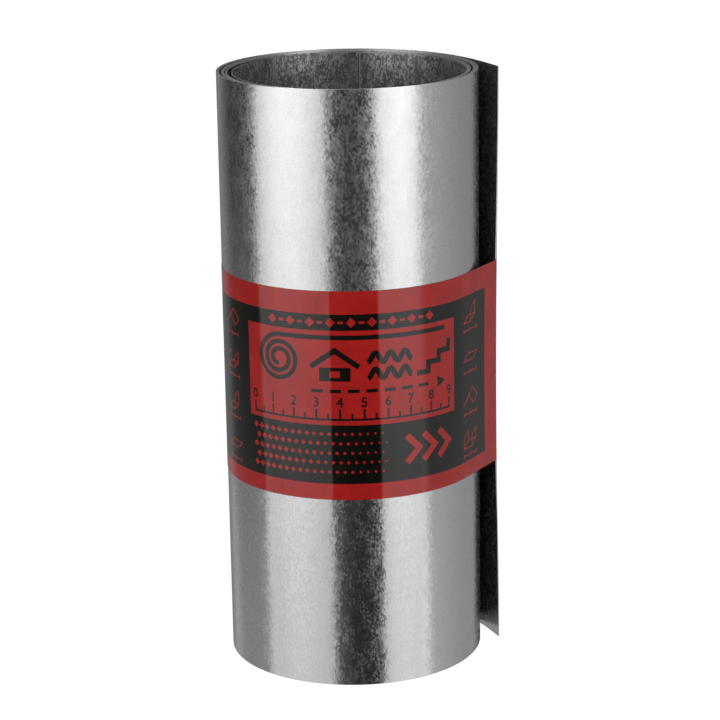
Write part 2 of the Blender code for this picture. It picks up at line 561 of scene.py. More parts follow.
@dataclass
class SheetRoll:
    """The wound sheet with its free end, one long strip of constant thickness."""

    FLAT_COORDS = "flat_metres"
    COATED = 0
    CUT = 1

    width: float = 254.0 * MM
    thickness: float = 0.4 * MM
    turn_gap: float = 0.05 * MM
    roll_radius: float = 55.0 * MM
    wound_turns: float = 9.083
    inner_end_angle: float = math.radians(83.5)
    crescents: tuple[Crescent, ...] = (
        Crescent(math.radians(180.0), 1, 1.7 * MM, math.radians(180.0)),
        Crescent(math.radians(90.0), 1, 1.2 * MM, math.radians(90.0)),
        Crescent(math.radians(180.0), 3, 0.35 * MM, math.radians(60.0)),
        Crescent(math.radians(-10.0), 4, 0.85 * MM, math.radians(80.0)),
        Crescent(math.radians(180.0), 6, 0.8 * MM, math.radians(95.0)),
    )
    tail_length: float = 56.3 * MM
    tail_tip_radius: float = 650.0 * MM
    tail_pull: float = 1.8 * MM
    pull_height: float = 127.0 * MM
    roll_over: tuple[tuple[float, float], ...] = (
        (0.0, 0.14 * MM),
        (0.02 * MM, 0.06 * MM),
        (0.07 * MM, 0.0),
    )
    burr: tuple[tuple[float, float], ...] = ((0.37 * MM, 0.012 * MM), (0.4 * MM, 0.04 * MM))
    turn_drop: float = 0.095 * MM
    drop_wave: float = 0.04 * MM
    wave_rate: float = 2.4
    end_curl: float = 0.2 * MM
    end_curl_length: float = 2.6 * MM
    end_round: float = 0.3 * MM
    end_steps: tuple[float, ...] = (-0.56, -0.545, -0.52, -0.48, -0.39, -0.2, 0.1, 0.6, 1.3)
    first_whole_step: int = 2
    # How far the rubbed lines with their painted highlight lie from the inner end.
    scuff_offset: float = 0.75 * MM
    # How far the lines of painted shade lie from the inner end.
    soil_offset: float = 0.12 * MM
    steps_per_turn: int = 192
    tail_steps: int = 48
    height_steps: int = 14
    inner_face_shift: float = 20.0

    @property
    def wound_steps(self) -> int:
        """Steps from the inner end to where the free end leaves the roll."""
        return round(self.wound_turns * self.steps_per_turn)

    @property
    def stride(self) -> float:
        """About how far apart the stations of the wound turns are."""
        return 2 * math.pi * self.roll_radius / self.steps_per_turn

    @property
    def pitch(self) -> float:
        """How much one turn adds to the radius."""
        return self.thickness + self.turn_gap

    def angle(self, step: float) -> float:
        """The angle of a step along the sheet, which winds outwards clockwise seen from above."""
        return self.inner_end_angle - 2 * math.pi * step / self.steps_per_turn

    def crescent_shift(self, step: float) -> float:
        """Says how far the loose turns outside a step push it inwards.

        Args:
            step: Steps from the inner end.

        Returns:
            The shift in metres.
        """
        turns = step / self.steps_per_turn
        shift = 0.0
        for crescent in self.crescents:
            first_pass = ((self.inner_end_angle - crescent.middle) / (2 * math.pi)) % 1.0
            if turns > first_pass + crescent.turns_inside - 0.5:
                continue
            away = abs((self.angle(step) - crescent.middle + math.pi) % (2 * math.pi) - math.pi)
            if away < crescent.reach:
                shift += crescent.widest * math.cos(0.5 * math.pi * away / crescent.reach) ** 2
        return shift

    def from_end(self, step: float) -> float:
        """How far along the sheet a step is from its inner end."""
        return (step - self.end_steps[0]) * self.stride

    def radius(self, step: float) -> float:
        """Gives the radius of the outer face on a wound turn.

        Args:
            step: Steps from the inner end, which curls a little off the turn behind it.

        Returns:
            The radius in metres.
        """
        turns_from_outside = (self.wound_steps - step) / self.steps_per_turn
        curl = self.end_curl * max(1.0 - self.from_end(step) / self.end_curl_length, 0.0) ** 2
        return self.roll_radius - self.pitch * turns_from_outside - self.crescent_shift(step) - curl

    def depth_limit(self, step: float) -> float:
        """Says how thick the strip is at a step, less along its inner end, which is rounded off.

        Args:
            step: Steps from the inner end.

        Returns:
            The thickness in metres.
        """
        left = max(self.end_round - self.from_end(step), 0.0)
        return self.thickness - self.end_round + math.sqrt(self.end_round**2 - left**2)

    def end_places(self, offset: float) -> tuple[float, float]:
        """Gives the flat coordinates of two lines beside the inner end.

        Args:
            offset: How far each line is from the end.

        Returns:
            The place on the end itself and the place on the turn behind it.
        """
        count = len(self.end_steps) + self.steps_per_turn + 1 - self.first_whole_step
        points = [point for point, _ in self.plan(0.0)[:count]]
        turn = sum((after - before).length for before, after in zip(points, points[1:]))
        start = self.inner_face_shift
        return start + offset, start + turn - offset

    def height_share(self, station: int, count: int) -> float:
        """Says how much of the sheet's width the strip reaches at a station.

        Args:
            station: The station's number from the inner end.
            count: How many stations there are.

        Returns:
            1 on the free end, and a little less on each turn inside it.
        """
        steps_inside = max(count - 1 - self.tail_steps - station, 0)
        turns_inside = steps_inside / self.steps_per_turn
        wave = self.drop_wave * (1.0 - math.cos(self.wave_rate * turns_inside)) * smooth_step(turns_inside)
        return 1.0 - (self.turn_drop * turns_inside + wave) / self.width

    def plan(self, z: float) -> list[tuple[Vector, Vector]]:
        """Lays out the strip's plan at one height.

        Args:
            z: The height, which matters only along the free end, where the band pulls it in.

        Returns:
            A point on the outer face and the outward unit normal there, from the inner end to the tip.
        """
        steps = [*self.end_steps, *range(self.first_whole_step, self.wound_steps + 1)]
        wound = [self.radius(step) * unit(self.angle(step)) for step in steps]
        stations = []
        for i, point in enumerate(wound):
            along = wound[min(i + 1, len(wound) - 1)] - wound[max(i - 1, 0)]
            stations.append((point, Vector((-along.y, along.x)).normalized()))
        pull = self.tail_pull * math.cos(math.pi * (z - self.pull_height) / self.width) ** 2
        point = self.roll_radius * unit(self.angle(self.wound_steps))
        heading = self.angle(self.wound_steps) - math.pi / 2
        stride = self.tail_length / self.tail_steps
        for step in range(self.tail_steps):
            along = (step + 0.5) / self.tail_steps
            curvature = (1 - along) / self.roll_radius + along / self.tail_tip_radius
            heading -= curvature * stride / 2
            point = point + stride * unit(heading)
            heading -= curvature * stride / 2
            outwards = unit(heading + math.pi / 2)
            share = (step + 1) / self.tail_steps
            stations.append((point - pull * share**2 * outwards, outwards))
        return stations

    def axis(self) -> Vector:
        """Finds the roll's axis in the frame, by laying the strip's own box on the CAD node's box.

        Returns:
            The plan position of the axis.
        """
        low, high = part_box(SHEET_NODE)
        node_middle = Vector(((low.x + high.x) / 2, (low.y + high.y) / 2))
        return node_middle - box_middle([point for point, _ in self.plan(0.0)])

    def section(self) -> list[Corner]:
        """Lays out the strip's cross-section, a thin upright rectangle with slit edges.

        Each slit edge is rolled over on the outer face, slopes down across the cut and ends in a burr.

        Returns:
            The corners in order: up the outer face, over the top, down the inner face and under.
        """
        low, high = self.roll_over[0][1], self.burr[-1][1]
        outer = [Corner(0.0, z) for z in spread(low, self.width - low, self.height_steps)]
        levels = spread(self.width - high, high, self.height_steps)
        inner = [Corner(self.thickness, z, on_inner=True) for z in levels]
        inner[-1] = Corner(self.thickness, high, on_inner=True, starts_cut=True)
        edge = self.roll_over[1:] + self.burr[:-1]
        cut_from = len(self.roll_over) - 2
        top = [Corner(d, self.width - drop, starts_cut=i >= cut_from) for i, (d, drop) in enumerate(edge)]
        bottom = [Corner(d, drop, starts_cut=i > cut_from) for i, (d, drop) in enumerate(edge)][::-1]
        return outer + top + inner + bottom

    def make(self, axis: Vector, finishes: Materials) -> bpy.types.Object:
        """Builds the wound sheet as one closed strip.

        Args:
            axis: The plan position of the roll's axis.
            finishes: The zinc coating and the bare cut edge.

        Returns:
            The new object.
        """
        section = self.section()
        plans = {z: self.plan(z) for z in {corner.z for corner in section}}
        ground = next(iter(plans.values()))
        count = len(ground)
        lengths = [0.0]
        for (before, _), (point, _) in zip(ground, ground[1:]):
            lengths.append(lengths[-1] + (point - before).length)
        bm = bmesh.new()
        flat = bm.loops.layers.uv.new(self.FLAT_COORDS)
        rings = []
        limits = [self.depth_limit(step) for step in self.end_steps]
        limits += [self.thickness] * (count - len(limits))
        for station, limit in enumerate(limits):
            ring = []
            reach = self.height_share(station, count)
            for corner in section:
                point, outwards = plans[corner.z][station]
                place = axis + point - min(corner.depth, limit) * outwards
                ring.append(bm.verts.new((*place, corner.z * reach)))
            rings.append(ring)
        size = len(section)
        for station in range(count - 1):
            for i in range(size):
                j = (i + 1) % size
                shift = self.inner_face_shift if section[i].on_inner and section[j].on_inner else 0.0
                corners = ((station, i), (station, j), (station + 1, j), (station + 1, i))
                places = [(lengths[s] + shift, section[c].z + section[c].depth) for s, c in corners]
                face = add_face(bm, flat, [rings[s][c] for s, c in corners], places)
                face.material_index = self.CUT if section[i].starts_cut else self.COATED
        for ring in (rings[0], rings[-1][::-1]):
            self.close_end(bm, ring, flat)
        bmesh.ops.recalc_face_normals(bm, faces=bm.faces)
        return new_piece("wound_sheet", bm, finishes)

    def close_end(self, bm: Mesh, ring: list[Vert], flat: FlatLayer) -> None:
        """Closes one cut end of the strip with a ladder of faces across its thickness.

        Args:
            bm: The mesh being built.
            ring: The cross-section's vertices at that end.
            flat: The layer of flat coordinates.
        """
        rows = self.height_steps + 1
        size = len(ring)
        pairs = [(ring[i], ring[(2 * rows + 2 - i) % size]) for i in range(-2, rows + 2)]
        for (a, b), (c, d) in zip(pairs, pairs[1:]):
            corners = [vert for i, vert in enumerate((a, b, d, c)) if vert not in (a, b, d, c)[:i]]
            if len(corners) > 2:
                face = add_face(bm, flat, corners, [(self.inner_face_shift, vert.co.z) for vert in corners])
                face.material_index = self.CUT


def add_face(bm: Mesh, flat: FlatLayer, corners: list[Vert], places: Outline) -> bmesh.types.BMFace:
    """Adds one face with its flat coordinates.

    Args:
        bm: The mesh being built.
        flat: The layer of flat coordinates.
        corners: The face's vertices in order.
        places: The flat coordinates of each corner.

    Returns:
        The new face.
    """
    face = bm.faces.new(corners)
    for loop, place in zip(face.loops, places):
        loop[flat].uv = place
    return face


def new_piece(name: str, bm: Mesh, finishes: Materials) -> bpy.types.Object:
    """Turns a bmesh into a linked object with smooth faces and sharp corners.

    Args:
        name: The object's name.
        bm: The mesh, freed here.
        finishes: The object's materials.

    Returns:
        The new object.
    """
    mesh = bpy.data.meshes.new(name)
    bm.to_mesh(mesh)
    bm.free()
    mesh.shade_smooth()
    mesh.set_sharp_from_angle(angle=SHARP_ANGLE)
    for finish in finishes:
        mesh.materials.append(finish)
    piece = bpy.data.objects.new(name, mesh)
    bpy.context.scene.collection.objects.link(piece)
    return piece


@dataclass
class Patch:
    """One flat shape of the print, in label coordinates: along the band and up it."""

    loops: list[Outline]
    ink: Ink

    def __post_init__(self) -> None:
        """Notes the box round the shape, so that most tests are quick."""
        xs = [x for loop in self.loops for x, _ in loop]
        ys = [y for loop in self.loops for _, y in loop]
        self.box = (min(xs), min(ys), max(xs), max(ys))

    def holds(self, x: float, y: float) -> bool:
        """Says whether a point is inside the shape.

        Args:
            x: Its place along the band.
            y: Its height.

        Returns:
            True inside, with a loop inside another loop taken as a hole.
        """
        low_x, low_y, high_x, high_y = self.box
        if not (low_x <= x <= high_x and low_y <= y <= high_y):
            return False
        inside = False
        for loop in self.loops:
            for (x0, y0), (x1, y1) in zip(loop, loop[1:] + loop[:1]):
                if (y0 > y) != (y1 > y) and x < x0 + (x1 - x0) * (y - y0) / (y1 - y0):
                    inside = not inside
        return inside


def rectangle(x: float, y: float, width: float, height: float) -> Outline:
    """Gives a rectangle's corners from its middle and size."""
    a, b = width / 2, height / 2
    return [(x - a, y - b), (x + a, y - b), (x + a, y + b), (x - a, y + b)]


def polygon(x: float, y: float, radius: float, sides: int) -> Outline:
    """Gives the corners of a regular polygon, the first one towards the right.

    Args:
        x: Its middle along the band.
        y: Its middle's height.
        radius: From the middle to a corner.
        sides: How many corners.

    Returns:
        The corners in order.
    """
    angles = [math.radians(360.0 * i / sides) for i in range(sides)]
    return [(x + radius * math.cos(a), y + radius * math.sin(a)) for a in angles]


def thick_line(points: Outline, width: float, least_stretch: float = 0.5) -> Outline:
    """Gives the outline of a line of some width through points.

    Args:
        points: The line's points.
        width: Its width.
        least_stretch: Keeps a sharp corner from running out into a long point.

    Returns:
        The closed outline.
    """
    left, right = [], []
    for i, point in enumerate(points):
        before = Vector(points[max(i - 1, 0)])
        after = Vector(points[min(i + 1, len(points) - 1)])
        here = Vector(point)
        arriving = (here - before).normalized() if i else (after - here).normalized()
        leaving = (after - here).normalized() if i < len(points) - 1 else arriving
        side = Vector((-arriving.y - leaving.y, arriving.x + leaving.x)).normalized()
        stretch = max(Vector((-arriving.y, arriving.x)).dot(side), least_stretch)
        left.append(tuple(here + side * (width / 2 / stretch)))
        right.append(tuple(here - side * (width / 2 / stretch)))
    return left + right[::-1]


def numeral_loops(text: str, x: float, y: float, height: float) -> list[Outline]:
    """Gives the outlines of a plain number, drawn with Blender's own font.

    Args:
        text: The number.
        x: The middle of the number along the band.
        y: The foot of the number.
        height: The height of a figure.

    Returns:
        Its closed outlines, holes among them.
    """
    curve = bpy.data.curves.new("numeral", "FONT")
    curve.body = text
    curve.size = height / FIGURE_SHARE
    curve.align_x = "CENTER"
    curve.resolution_u = FIGURE_FINENESS
    curve.offset = FIGURE_BOLDNESS * height
    carrier = bpy.data.objects.new("numeral", curve)
    bpy.context.scene.collection.objects.link(carrier)
    bpy.context.view_layer.update()
    mesh = carrier.evaluated_get(bpy.context.evaluated_depsgraph_get()).to_mesh()
    bm = bmesh.new()
    bm.from_mesh(mesh)
    bmesh.ops.remove_doubles(bm, verts=bm.verts, dist=MERGE_DISTANCE)
    border = {edge for edge in bm.edges if len(edge.link_faces) == 1}
    loops = []
    while border:
        edge = min(border, key=lambda e: e.index)
        start, here = edge.verts
        loop = [start]
        border.discard(edge)
        while here != start:
            loop.append(here)
            edge = next(e for e in here.link_edges if e in border)
            border.discard(edge)
            here = edge.other_vert(here)
        loops.append([(x + vert.co.x, y + vert.co.y) for vert in loop])
    bm.free()
    bpy.data.objects.remove(carrier)
    bpy.data.curves.remove(curve)
    return loops


@dataclass
class LabelPrint:
    """The band's print: a dark panel round a red window, with plain signs and a length scale."""

    panel_left: float = -79.0 * MM
    panel_right: float = 75.6 * MM
    panel_bottom: float = 89.5 * MM
    panel_top: float = 161.8 * MM
    window_left: float = -48.0 * MM
    window_right: float = 49.1 * MM
    window_bottom: float = 114.8 * MM
    window_top: float = 155.0 * MM
    bold: float = 2.3 * MM
    fine: float = 0.5 * MM
    patches: list[Patch] = field(default_factory=list)

    def add(self, ink: Ink, *loops: Outline) -> None:
        """Adds a shape on top of those there are."""
        self.patches.append(Patch(list(loops), ink))

    def add_line(self, ink: Ink, points: Outline, width: float) -> None:
        """Adds a line of some width through points given in millimetres."""
        self.add(ink, thick_line([(x * MM, y * MM) for x, y in points], width))

    def add_block(self, ink: Ink, x: float, y: float, width: float, height: float) -> None:
        """Adds a rectangle by its middle and size in millimetres."""
        self.add(ink, rectangle(x * MM, y * MM, width * MM, height * MM))

    def add_polygon(self, ink: Ink, x: float, y: float, radius: float, sides: int) -> None:
        """Adds a regular polygon by its middle and radius in millimetres."""
        self.add(ink, polygon(x * MM, y * MM, radius * MM, sides))

    def add_grounds(self) -> None:
        """Adds the dark panel and the red window in it."""
        for ink, left, right, bottom, top in (
            (Ink.BLACK, self.panel_left, self.panel_right, self.panel_bottom, self.panel_top),
            (Ink.RED, self.window_left, self.window_right, self.window_bottom, self.window_top),
        ):
            middle = ((left + right) / 2, (bottom + top) / 2)
            self.add(ink, rectangle(*middle, right - left, top - bottom))

    def add_scale(self) -> None:
        """Adds a length scale with plain numbers along the foot of the window."""
        middle, foot, pitch, marks = 0.5, 117.2, 10.0, 9
        line, overhang, long_mark, short_mark = 0.9, 1.0, 4.4, 2.6
        figure_lift, figure_height = 5.4, 4.2
        left = middle - marks * pitch / 2
        self.add_block(Ink.BLACK, middle, foot, marks * pitch + overhang, line)
        for mark in range(2 * marks + 1):
            tall = long_mark if mark % 2 == 0 else short_mark
            self.add_block(Ink.BLACK, left + mark * pitch / 2, foot + tall / 2, line, tall)
        for mark in range(marks + 1):
            place = ((left + mark * pitch) * MM, (foot + figure_lift) * MM)
            self.add(Ink.BLACK, *numeral_loops(str(mark), *place, figure_height * MM))

    def add_coil_sign(self) -> None:
        """Adds the end view of a coil whose sheet runs out to the right along the window's head."""
        x, y, turns, start, pitch, steps = -31.0, 142.0, 2.5, 2.3, 3.1, 60
        run_start, run_end, boldness = 8.0, 43.0, 0.85
        line = []
        for step in range(steps + 1):
            turn = turns * step / steps
            angle = math.radians(90.0) - 2 * math.pi * (turn - turns)
            radius = start + pitch * turn
            line.append((x + radius * math.cos(angle), y + radius * math.sin(angle)))
        head = y + start + pitch * turns
        line += [(x + run_start, head), (run_end, head)]
        self.add_line(Ink.BLACK, line, self.bold * boldness)

    def add_gable_sign(self, x: float, foot: float) -> None:
        """Adds a roof over a wall with an opening.

        Args:
            x: Its middle, in millimetres.
            foot: Its foot, in millimetres.
        """
        half, eaves, ridge, middle = 10.0, 6.0, 13.0, 2.9
        roof = [(x - half, foot + eaves), (x, foot + ridge), (x + half, foot + eaves)]
        self.add_line(Ink.BLACK, roof, self.bold)
        place = (x * MM, (foot + middle) * MM)
        wall, opening = (13.0 * MM, 5.8 * MM), (4.2 * MM, 2.8 * MM)
        self.add(Ink.BLACK, rectangle(*place, *wall), rectangle(*place, *opening))

    def add_wave_sign(self, left: float, foot: float) -> None:
        """Adds two corrugated sheets, one over the other.

        Args:
            left: Their left end, in millimetres.
            foot: The foot of the sign, in millimetres.
        """
        width, height, waves, steps, levels = 19.0, 1.9, 3, 40, (3.0, 9.8)
        for level in levels:
            wave = []
            for across in spread(0.0, width, steps):
                dip = height * math.cos(2 * waves * math.pi * across / width)
                wave.append((left + across, foot + level - dip))
            self.add_line(Ink.BLACK, wave, self.bold)

    def add_step_sign(self, x: float, foot: float) -> None:
        """Adds a stepped edge, by its middle and foot in millimetres."""
        stairs = [(-8.5, 1.2), (-2.9, 1.2), (-2.9, 5.0), (2.7, 5.0), (2.7, 8.8), (8.3, 8.8), (8.3, 13.4)]
        self.add_line(Ink.BLACK, [(x + across, foot + up) for across, up in stairs], self.bold)

    def add_roof_signs(self) -> None:
        """Adds three bold signs in the window: a gable, a corrugated sheet and a stepped edge."""
        foot = 133.6
        self.add_gable_sign(-6.5, foot)
        self.add_wave_sign(7.2, foot)
        self.add_step_sign(37.0, foot)

    def add_pull_arrow(self) -> None:
        """Adds a dashed arrow under the bold signs."""
        level, first, pitch, dashes = 129.4, -14.0, 7.6, 7
        length, line, head, head_radius = 4.8, 1.5, 40.2, 2.9
        for dash in range(dashes):
            self.add_block(Ink.BLACK, first + dash * pitch, level, length, line)
        self.add_polygon(Ink.BLACK, head, level, head_radius, 3)

    def add_lozenge_row(self) -> None:
        """Adds a row of lozenges and short bars over the window."""
        level = (self.window_top + self.panel_top) / 2 / MM
        middle, pitch, half_count, lozenge, bar = 0.5, 4.3, 8, 2.1, (2.4, 1.1)
        for place in range(-half_count, half_count + 1):
            if place % 2 == 0:
                self.add_polygon(Ink.RED, middle + place * pitch, level, lozenge, 4)
            else:
                self.add_block(Ink.RED, middle + place * pitch, level, *bar)

    def add_fading_field(self) -> None:
        """Adds a field of lozenges under the window, smaller towards the right."""
        columns, rows, left, bottom = 19, 5, -44.5, 94.6
        pitch, rise, largest, loss = 3.2, 4.1, 1.45, 0.9
        for column in range(columns):
            size = largest - loss * column / (columns - 1)
            for row in range(rows):
                across = left + pitch * column + pitch / 2 * (row % 2)
                self.add_polygon(Ink.RED, across, bottom + rise * row, size, 4)

    def add_chevrons(self) -> None:
        """Adds three bold chevrons at the right of the field."""
        first, pitch, level, tip, line, count = 23.5, 8.0, 102.8, 5.8, 2.8, 3
        for i in range(count):
            x = first + pitch * i
            chevron = [(x, level - tip), (x + tip, level), (x, level + tip)]
            self.add_line(Ink.RED, chevron, line * MM)

    def add_bent_sheets(self) -> None:
        """Adds fine line drawings of bent sheets, each with a dimension line, down both sides."""
        profiles = (
            ((-5.8, -1.6), (3.0, -1.6)),
            ((-5.6, -3.4), (0.6, -3.4), (0.6, 2.2)),
            ((-5.6, 1.2), (-5.6, -3.4), (1.4, -3.4), (1.4, 1.2)),
            ((-6.2, -2.8), (-1.7, 1.4), (2.8, -2.8)),
        )
        across, up, drop, half, tick = 3.6, 3.0, 6.6, 5.6, 1.0
        for side, x in enumerate((-61.8, 62.4)):
            for i, y in enumerate(spread(98.6, 153.4, 3)):
                profile = profiles[(i + 2 * side) % len(profiles)]
                front = [(x + px, y + py) for px, py in profile]
                back = [(px + across, py + up) for px, py in front]
                self.add_line(Ink.RED, front, self.fine)
                self.add_line(Ink.RED, back, self.fine)
                for ends in zip(front, back):
                    self.add_line(Ink.RED, list(ends), self.fine)
                foot = y - drop
                self.add_line(Ink.RED, [(x - half, foot), (x + half, foot)], self.fine)
                for end in (x - half, x, x + half):
                    self.add_line(Ink.RED, [(end, foot - tick), (end, foot + tick)], self.fine)

    def make(self) -> list[Patch]:
        """Lays out every patch.

        Returns:
            The patches from the lowest layer to the topmost.
        """
        self.add_grounds()
        self.add_scale()
        self.add_coil_sign()
        self.add_roof_signs()
        self.add_pull_arrow()
        self.add_lozenge_row()
        self.add_fading_field()
        self.add_chevrons()
        self.add_bent_sheets()
        return self.patches


@dataclass
class FilmBand:
    """The printed film strip round the roll and its free end, glued to itself at the back."""

    sheet: SheetRoll
    bottom: float = 82.5 * MM
    top: float = 171.5 * MM
    clearance: float = 0.08 * MM
    film: float = 0.1 * MM
    lap: float = 11.0 * MM
    lap_rise: float = 3.0 * MM
    lap_films: float = 1.2
    lap_angle: float = math.radians(128.0)
    front_angle: float = math.radians(-90.0)
    fold_steps: int = 5
    span_steps: int = 14
    height_steps: int = 12

    def start_step(self) -> int:
        """Finds where the film, drawn straight from the tip of the free end, meets the roll.

        Returns:
            The step of the outermost turn.
        """
        stations = self.sheet.plan(self.sheet.pull_height)
        tip = stations[-1][0]
        first = len(stations) - 1 - self.sheet.tail_steps - self.sheet.steps_per_turn
        front = range(first, first + self.sheet.steps_per_turn // 2)
        return max(front, key=lambda step: (stations[step][0] - tip).angle_signed(-tip))

    def loop(self, z: float, offset: float, first: int) -> list[Vector]:
        """Lays a taut loop round the roll and its free end at one height.

        Args:
            z: The height.
            offset: How far the loop lies off the sheet.
            first: The step of the sheet where the loop meets the roll.

        Returns:
            Points from that step round the back to the tip, its fold, and back along the straight span.
        """
        held = [point for point, _ in self.sheet.plan(z)[first:]]
        points = []
        for i, point in enumerate(held[:-1]):
            before = held[i - 1]
            arriving = (point - before).normalized()
            leaving = (held[i + 1] - point).normalized()
            outwards = Vector((-arriving.y - leaving.y, arriving.x + leaving.x)).normalized()
            stretch = Vector((-arriving.y, arriving.x)).dot(outwards)
            points.append(point + offset / stretch * outwards)
        tip = held[-1]
        arriving = (tip - held[-2]).normalized()
        leaving = (held[0] - tip).normalized()
        from_angle = math.atan2(arriving.x, -arriving.y)
        turn = arriving.angle_signed(leaving)
        for step in range(self.fold_steps + 1):
            points.append(tip + offset * unit(from_angle - turn * step / self.fold_steps))
        fold_end = points[-1]
        points += [fold_end.lerp(points[0], share) for share in spread(0.0, 1.0, self.span_steps)[1:-1]]
        return points

    def make(self, axis: Vector, patches: list[Patch], finishes: Materials) -> bpy.types.Object:
        """Builds the film strip with its print in its outer face.

        Args:
            axis: The plan position of the roll's axis.
            patches: The print.
            finishes: The materials, in the order of Ink.

        Returns:
            The new object.
        """
        surface = self.lay(axis)
        verts, edges = surface.print_lines(patches)
        flat_verts, _, faces, sources, _, _ = delaunay_2d_cdt(verts, edges, [], 1, MERGE_DISTANCE)
        LOG.info("film print cut into %d faces", len(faces))
        bm = bmesh.new()
        flat = bm.loops.layers.uv.new(self.sheet.FLAT_COORDS)
        outer = [bm.verts.new(surface.point(*vert, self.film)) for vert in flat_verts]
        for corners in faces:
            places = [flat_verts[i] for i in corners]
            face = add_face(bm, flat, [outer[i] for i in corners], places)
            x = sum(place.x for place in places) / len(places)
            y = sum(place.y for place in places) / len(places)
            over = [patch.ink for patch in patches if patch.holds(x, y)]
            face.material_index = (over[-1] if over else Ink.RED).value
        normals = [surface.normal(*vert) for vert in flat_verts]
        grid = surface.grid()
        inner = [bm.verts.new(surface.point(x, y, 0.0)) for x, y in grid]
        normals += [Vector((0.0, 0.0, 0.0))] * len(inner)
        outer_of = {source: outer[i] for i, found in enumerate(sources) for source in found}
        for corners in surface.cells():
            add_face(bm, flat, [inner[i] for i in corners], [grid[i] for i in corners])
        for a, b in surface.border():
            corners = [outer_of[b], outer_of[a], inner[a], inner[b]]
            add_face(bm, flat, corners, [grid[i] for i in (b, a, a, b)])
        piece = new_piece("printed_band", bm, finishes)
        piece.data.normals_split_custom_set_from_vertices(normals)
        return piece

    def lay(self, axis: Vector) -> "FilmSurface":
        """Lays the strip round the roll and its free end.

        Args:
            axis: The plan position of the roll's axis.

        Returns:
            The surface that carries the print.
        """
        first = self.start_step()
        heights = spread(self.bottom, self.top, self.height_steps)
        loops = {z: self.loop(z, self.clearance, first) for z in heights}
        middle = loops[heights[self.height_steps // 2]]
        strip = self.strip_order(middle)
        places = self.measure(middle, strip)
        LOG.info("film loop of %d points, %.1f to %.1f mm", len(middle), places[0] / MM, places[-1] / MM)
        return FilmSurface(self, axis, loops, heights, strip, places)

    def strip_order(self, loop: list[Vector]) -> list[int]:
        """Puts the loop's points in the order of the strip, which starts and ends at the back.

        Args:
            loop: The closed loop, clockwise seen from above.

        Returns:
            The points' numbers, counter-clockwise from the lap, with the lapped points at both ends.
        """
        count = len(loop)
        at_lap = min(range(count), key=lambda i: abs(math.atan2(loop[i].y, loop[i].x) - self.lap_angle))
        order = [(at_lap - i) % count for i in range(count + 1)]
        length = 0.0
        while length < self.lap:
            here = order[-1]
            after = (here - 1) % count
            length += (loop[after] - loop[here]).length
            order.append(after)
        return order

    def measure(self, loop: list[Vector], strip: list[int]) -> list[float]:
        """Measures the strip's points along it, from the middle of the front.

        Args:
            loop: The closed loop at the middle height.
            strip: The points' numbers in the order of the strip.

        Returns:
            One length for each point of the strip.
        """
        places = [0.0]
        for a, b in zip(strip, strip[1:]):
            places.append(places[-1] + (loop[b] - loop[a]).length)
        front = unit(self.front_angle)
        before_lap = range(len(strip) // 2 + len(strip) // 4)
        at_front = max(before_lap, key=lambda i: loop[strip[i]].normalized().dot(front))
        zero = places[at_front]
        return [place - zero for place in places]


